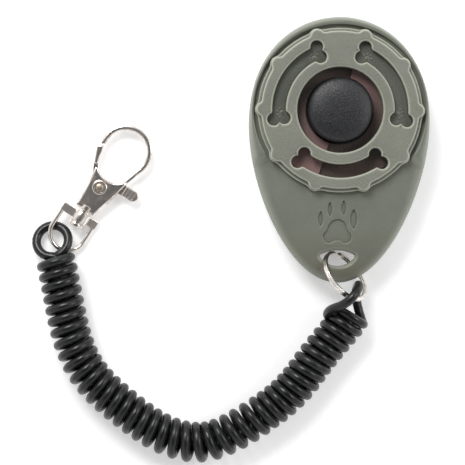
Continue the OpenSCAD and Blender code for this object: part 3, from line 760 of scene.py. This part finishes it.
def inlays():
    for side, middle in (("right", 30), ("left", 150)):
        loop = outlines(lambda x, y: bone(x, y, middle), (-22, 22, -22, 22), 0.1, 0.16, 1)[0] + CENTRE
        prof = [(0.06, 11.06), (0.06, 11.3), (0.09, 11.42), (0.2, 11.5), (0.26, 11.5)]
        floor = build("bone_" + side, *plate([loop], prof), INLAY)
        bumps = []
        for sign in (-1, 1):
            a = middle + 33 * sign
            c, s = math.cos(rad(a)), math.sin(rad(a))
            spots = [(BONE_R - 0.75, 0.0, 0.62)] + [
                (BONE_R - 0.75 + 1.15 * math.cos(rad(q)), 1.15 * math.sin(rad(q)), 0.3)
                for q in (-66, -22, 22, 66)]
            for n, (u, v, r) in enumerate(spots):
                x, y = u * c - v * s, DIAL_Y + u * s + v * c
                dome = [(r * math.cos(rad(q)), 11.46 + 0.3 * math.sin(rad(q))) for q in (0, 25, 50, 72, 86)]
                bumps.append(build(f"paw_{side}_{sign}_{n}", *lathe([(r, 11.3)] + dome, (x, y), 24), INLAY))
        combine(floor, bumps, "UNION")
        if side == "right":
            settle(floor, "dial", ["bone_inlays"])
        else:
            settle(floor, "dial", [])


volume_dial()
inlays()


def push_button():
    prof = [(0.02, 4.35), (1.75, 4.35), (2.0, 4.6), (2.0, 13.0), (2.3, 13.4), (6.6, 13.4), (6.9, 13.1),
            (6.9, 7.7), (7.0, 7.6), (8.6, 7.6), (8.7, 7.7), (8.7, 8.3), (8.6, 8.4), (8.05, 8.4),
            (7.95, 8.5), (7.95, 13.3)]
    prof += [(7.95 - 1.75 * (1 - math.cos(rad(q))), 13.3 + 1.6 * math.sin(rad(q)))
             for q in (8, 16, 24, 32, 40, 48, 56, 64)]
    prof += [(6.3, 14.98), (5.6, 15.19), (4.8, 15.35), (3.8, 15.47), (2.6, 15.55), (1.2, 15.59), (0.02, 15.6)]
    obj = build("button_cap", *lathe(prof, (0, DIAL_Y)), BUTTON)
    settle(obj, "button", ["button"])


push_button()


# ---------------------------------------------------------------- split ring
RING = np.array([2.05, -31.4, 6.75])


def turn_about(v, axis, angle):
    axis = np.asarray(axis, dtype=float)
    c, s = math.cos(rad(angle)), math.sin(rad(angle))
    v = np.asarray(v, dtype=float)
    return v * c + np.cross(axis, v) * s + np.outer(v @ axis, axis) * (1 - c)


def split_ring():
    """Two turns of flat wire with a step where one lies over the other and two filed ends."""
    a = np.arange(0, 712, 3.0)
    shift = np.clip((a - 330) / 60, 0, 1)
    z = -0.28 + 0.56 * shift * shift * (3 - 2 * shift)
    w, h, c = 0.4, 0.262, 0.09
    section = []
    for sx, sz, q0 in ((1, 1, 0), (-1, 1, 90), (-1, -1, 180), (1, -1, 270)):
        for q in (0, 30, 60, 90):
            turn = rad(q0 + q)
            section.append((sx * (w - c) + c * math.cos(turn), sz * (h - c) + c * math.sin(turn)))
    section = np.array(section)
    rings = []
    for i, (angle, height) in enumerate(zip(a, z)):
        edge = min(i, len(a) - 1 - i)
        grow = (0.55, 0.86, 0.97)[edge] if edge < 3 else 1.0
        r = 6.85 + section[:, 0] * grow
        rings.append(np.column_stack([r * math.cos(rad(angle)), r * math.sin(rad(angle)),
                                      height + section[:, 1] * grow]))
    verts, faces = skin(rings)
    verts = turn_about(verts, (0, 0, 1), 148)
    verts = turn_about(verts, (1, 0, 0), -60)
    verts = turn_about(verts, (0, 0, 1), -50) + RING
    obj = build("ring_split", verts, faces, NICKEL, 50.0)
    settle(obj, "ring", ["split_ring"])
    return obj


ring_obj = split_ring()

# ---------------------------------------------------------------- clasp
CLASP = np.array([-59.8, -9.9, 2.2])


def to_clasp(verts):
    return turn_about(verts, (0, 0, 1), -32.3) + CLASP


def along(verts):
    """Lathe axis laid along the clasp, so that its heights become distances towards the hook."""
    verts = np.asarray(verts)
    return np.column_stack([verts[:, 0], verts[:, 2], -verts[:, 1]])


def loop_inside(x, y):
    f0 = join(disc(x, y, 0.55, 11.25, 5.3), disc(x, y, 0.4, 7.4, 4.85), 0.4)
    return join(f0, poly(x, y, [(-4.72, 11.6), (5.84, 11.6), (5.2, 6.9), (-4.4, 6.9)][::-1]), 0.4)


def hook_field(x, y):
    f0 = disc(x, y, 0.55, 11.25, 6.65)
    f0 = join(f0, poly(x, y, [(-3.7, 3.9), (-3.5, 2.4), (-3.0, -1), (-2.75, -5), (-2.85, -6.9), (2.6, -6.9),
                              (3, -4.9), (4.1, -1), (4.9, 2.25), (5.4, 4.9), (6, 6.75), (6.9, 9.3),
                              (7.2, 11.25), (0.5, 11.25), (0.4, 4)]), 0.3)
    f0 = less(f0, loop_inside(x, y), 0.2)
    mouth = np.maximum(disc(x, y, 0, 0, 10.95), poly(x, y, [(-9, 3.9), (-2.2, 3.9), (-2.2, 12), (-9, 12)]))
    return less(f0, mouth, 0.12)


def box(lo, hi):
    x0, y0, z0 = lo
    x1, y1, z1 = hi
    rings = [[(x0, y0, z), (x1, y0, z), (x1, y1, z), (x0, y1, z)] for z in (z0, z1)]
    return skin([np.array(r, dtype=float) for r in rings])


def brick(lo, hi, r):
    """Rounded block."""
    loop = outlines(lambda x, y: np.maximum(abs(x - (lo[0] + hi[0]) / 2) - (hi[0] - lo[0]) / 2,
                                            abs(y - (lo[1] + hi[1]) / 2) - (hi[1] - lo[1]) / 2),
                    (lo[0] - 1, hi[0] + 1, lo[1] - 1, hi[1] + 1), 0.06, 0.1)[0]
    return plate([loop], rounded(lo[2], hi[2], r, 4))


def clasp():
    loops = outlines(hook_field, (-8, 9, -9, 19.5), 0.07, 0.13)[:1]
    hook = build("hook_body", *plate(loops, rounded(-1.5, 1.5, 0.56, 6)), NICKEL)
    work = bmesh.new()
    work.from_mesh(hook.data)
    for s in (3.6, 4.0, 4.4, 4.8, 5.2):
        geom = work.verts[:] + work.edges[:] + work.faces[:]
        bmesh.ops.bisect_plane(work, geom=geom, dist=1e-8, plane_co=(0, s * MM, 0), plane_no=(0, 1, 0))
    for v in work.verts:
        k = min(1.0, max(0.0, (v.co.y / MM - 3.6) / 1.6))
        v.co.z *= 1.0 - 0.2667 * k * k * (3 - 2 * k)
    work.to_mesh(hook.data)
    work.free()
    cutters = [build("cut_slot", *box((-10, -2.7, -0.65), (10, 6.9, 0.65)), NICKEL),
               build("cut_pocket", *brick((-2, -7.5, -3), (2.1, -5.3, 3), 0.1), NICKEL)]
    prof = [(1.05, -6.0), (1.05, -2.0)]
    verts, faces = lathe(prof, (0, 0), 48)
    cutters.append(build("cut_bore", along(verts), faces, NICKEL))
    combine(hook, cutters, "DIFFERENCE")
    for v in hook.data.vertices:
        v.co = Vector(to_clasp([[c / MM for c in v.co]])[0]) * MM
    settle(hook, "hook", ["clasp_hook"])

    def gate_field(x, y):
        f0 = poly(x, y, [(-6.8, 9.6), (-5.2, 10.3), (-2.9, 3.9), (0, 1.9), (0, -1.5), (-1.6, -1),
                         (-4.35, 3.6)])
        f0 = join(f0, disc(x, y, 0, 0, 1.9), 0.2)
        f0 = join(f0, poly(x, y, [(0, 1.9), (3, 4), (8.25, 4.1), (8.25, 1.2), (5, 1.2), (1.5, -1.2),
                                  (0, -1.5)]), 0.2)
        f0 = join(f0, disc(x, y, 8.25, 2.65, 1.45), 0.2)
        f0 = np.maximum(f0, disc(x, y, 0, 0, 10.75))
        return less(f0, disc(x, y, 0.4, 7.4, 4.7), 0.15)
    loops = outlines(gate_field, (-8, 11, -4, 12), 0.07, 0.13)[:1]
    gate = build("gate_lever", *plate(loops, rounded(-0.55, 0.55, 0.16, 3)), NICKEL)
    extra = []
    for label, cut in (("tip", lambda x, y: 4.5 - y), ("thumb", lambda x, y: 5.5 - x)):
        def part(x, y, cut=cut):
            f0 = np.maximum(gate_field(x, y), cut(x, y))
            return f0 if label == "tip" else f0
        shapes = [p for p in outlines(part, (-8, 11, -4, 12), 0.07, 0.13)]
        keep = [p for p in shapes if (p[:, 0].mean() < 0) == (label == "tip")][:1]
        extra.append(build("gate_" + label, *plate(keep, rounded(-0.95, 0.95, 0.36, 4)), NICKEL))
    combine(gate, extra, "UNION")
    grooves = [build(f"cut_rib_{n}", *brick((6.3 + 0.9 * n, 1.6, 0.8), (6.75 + 0.9 * n, 3.7, 1.4), 0.1),
                     NICKEL)
               for n in range(3)]
    verts, faces = lathe([(0.9, -3), (0.9, 0.0), (1.5, 0.0), (1.5, 3)], (0, 0), 48)
    combine(gate, grooves + [build("cut_eye", verts, faces, NICKEL)], "DIFFERENCE")
    for v in gate.data.vertices:
        v.co = Vector(to_clasp([[c / MM for c in v.co]])[0]) * MM
    settle(gate, "gate", ["clasp_gate"])

    pin = [(0.02, -11.7), (1.7, -11.7), (1.92, -11.6), (2.0, -11.4), (2.0, -10.8), (1.92, -10.6),
           (1.7, -10.5),
           (1.2, -10.5), (1.2, -6.9), (1.3, -6.9), (1.7, -6.9), (1.85, -6.75), (1.85, -5.7), (1.7, -5.55),
           (1.0, -5.55), (1.0, -3.5), (0.02, -3.4)]
    verts, faces = lathe(pin, (0, 0), 64)
    obj = build("pin_swivel", to_clasp(along(verts)), faces, NICKEL)
    settle(obj, "hook", ["swivel_pin"])

    arc = [(-0.5 - 4.6 * math.cos(rad(q)), -13.9 - 4.6 * math.sin(rad(q)), 0.0) for q in range(0, 181, 5)]
    path = [(-5.1, s, 0.0) for s in (-8.4, -9.2, -10.0, -11.0, -12.0, -13.0)] + arc
    path += [(4.1, s, 0.0) for s in (-13.0, -12.0, -11.0, -10.0, -9.2, -8.4)]
    wire = build("bail_wire", *tube(path, 0.58, 20), NICKEL, 60.0)
    bar = build("bail_bar", *brick((-5.65, -9.9, -0.65), (4.65, -7.6, 0.65), 0.22), NICKEL)
    hub = [(1.25, -10.3), (2.0, -10.3), (2.15, -10.2), (2.2, -10.0), (2.2, -7.9), (2.15, -7.7), (2.0, -7.6),
           (1.25, -7.6)]
    verts, faces = lathe(hub, (0, 0), 64, True)
    barrel = build("bail_hub", along(verts), faces, NICKEL)
    verts, faces = lathe([(1.25, -11), (1.25, -7)], (0, 0), 64)
    combine(bar, [build("cut_bore", along(verts), faces, NICKEL)], "DIFFERENCE")
    combine(wire, [bar, barrel], "UNION")
    for v in wire.data.vertices:
        local = turn_about([[c / MM for c in v.co]], (0, 1, 0), 17)
        v.co = Vector(to_clasp(local)[0]) * MM
    settle(wire, "bail", ["clasp_bail"])

    prof = [(0.02, -1.78), (0.8, -1.78), (0.92, -1.72), (1.0, -1.62), (1.25, -1.62), (1.4, -1.78),
            (1.62, -1.8),
            (1.8, -1.7), (1.86, -1.52), (0.85, -1.5), (0.85, 1.5), (1.86, 1.52), (1.8, 1.7), (1.62, 1.8),
            (1.4, 1.78), (1.25, 1.62), (1.0, 1.62), (0.92, 1.72), (0.8, 1.78), (0.02, 1.78)]
    verts, faces = lathe(prof, (0, 0), 72)
    obj = build("rivet", to_clasp(verts), faces, RIVET)
    obj.data.materials.append(NICKEL)
    for polygon in obj.data.polygons:
        x, y = polygon.center.x / MM - CLASP[0], polygon.center.y / MM - CLASP[1]
        polygon.material_index = 1 if math.hypot(x, y) > 1.0 else 0
    settle(obj, "hook", ["gate_rivet"])
    return [hook, gate, obj, wire]


clasp_parts = clasp()

# ---------------------------------------------------------------- carried CAD pieces
FINISH = {"cam_disc": SMOKE, "dial_clip": SPRING, "detent_spring": SPRING, "stem_guide": GUIDE,
          "clicker_plate": SPRING, "plate_root": SPRING, "plate_clamp": SCREW, "clamp_screws": SCREW,
          "case_screws": SCREW, "damper_ring": GUIDE, "damper_pads": PAD, "damper_springs": SPRING,
          "gate_spring": SPRING}
for name, mat in FINISH.items():
    obj = frame["nodes"][name]
    obj.data.materials.clear()
    obj.data.materials.append(mat)


# ---------------------------------------------------------------- stage and light
def stage():
    m = Nodes("floor_paper")
    colour = m.mix(m.noise(6.0, 2.0), (0.86, 0.86, 0.857, 1.0), (0.88, 0.88, 0.88, 1.0))
    mat = m.finish(colour, m.span(m.noise(900.0, 3.0), 0.3, 0.7, 0.75, 0.9))
    mat.node_tree.nodes["Principled BSDF"].inputs["Emission Color"].default_value = (1, 1, 1, 1)
    mat.node_tree.nodes["Principled BSDF"].inputs["Emission Strength"].default_value = 0.3
    verts = [(x * 2500.0, y * 2500.0, 0.0) for x, y in ((-1, -1), (1, -1), (1, 1), (-1, 1))]
    obj = build("floor", verts, [(0, 1, 2, 3)], mat)


def world():
    w = bpy.data.worlds.new("studio")
    scene.world = w
    w.use_nodes = True
    tree = w.node_tree
    back = tree.nodes["Background"]
    coord = tree.nodes.new("ShaderNodeTexCoord")
    sep = tree.nodes.new("ShaderNodeSeparateXYZ")
    ramp = tree.nodes.new("ShaderNodeValToRGB")
    tree.links.new(coord.outputs["Generated"], sep.inputs[0])
    tree.links.new(sep.outputs["Z"], ramp.inputs["Fac"])
    tree.links.new(ramp.outputs["Color"], back.inputs["Color"])
    for place, value in ((0.0, 0.9), (0.70, 0.9), (0.85, 0.16), (1.0, 0.1)):
        key = ramp.color_ramp.elements.new(place) if place not in (0.0, 1.0) else (
            ramp.color_ramp.elements[0 if place == 0.0 else -1])
        key.position = place
        key.color = (value, value, value * 1.01, 1.0)
    back.inputs["Strength"].default_value = 1.0


def lamp(name, place, size, power):
    data = bpy.data.lights.new(name, "AREA")
    data.shape = "SQUARE"
    data.size = size
    data.energy = power
    obj = bpy.data.objects.new(name, data)
    obj.location = place
    target = Vector((-0.02, -0.01, 0.0))
    obj.rotation_euler = (target - Vector(place)).to_track_quat("-Z", "Y").to_euler()
    scene.collection.objects.link(obj)


stage()
world()
lamp("key", (-0.20, 0.34, 0.46), 0.24, 2.5)
lamp("fill", (0.42, 0.10, 0.40), 0.20, 0.8)
scene.view_settings.view_transform = "Standard"

bpy.context.view_layer.update()
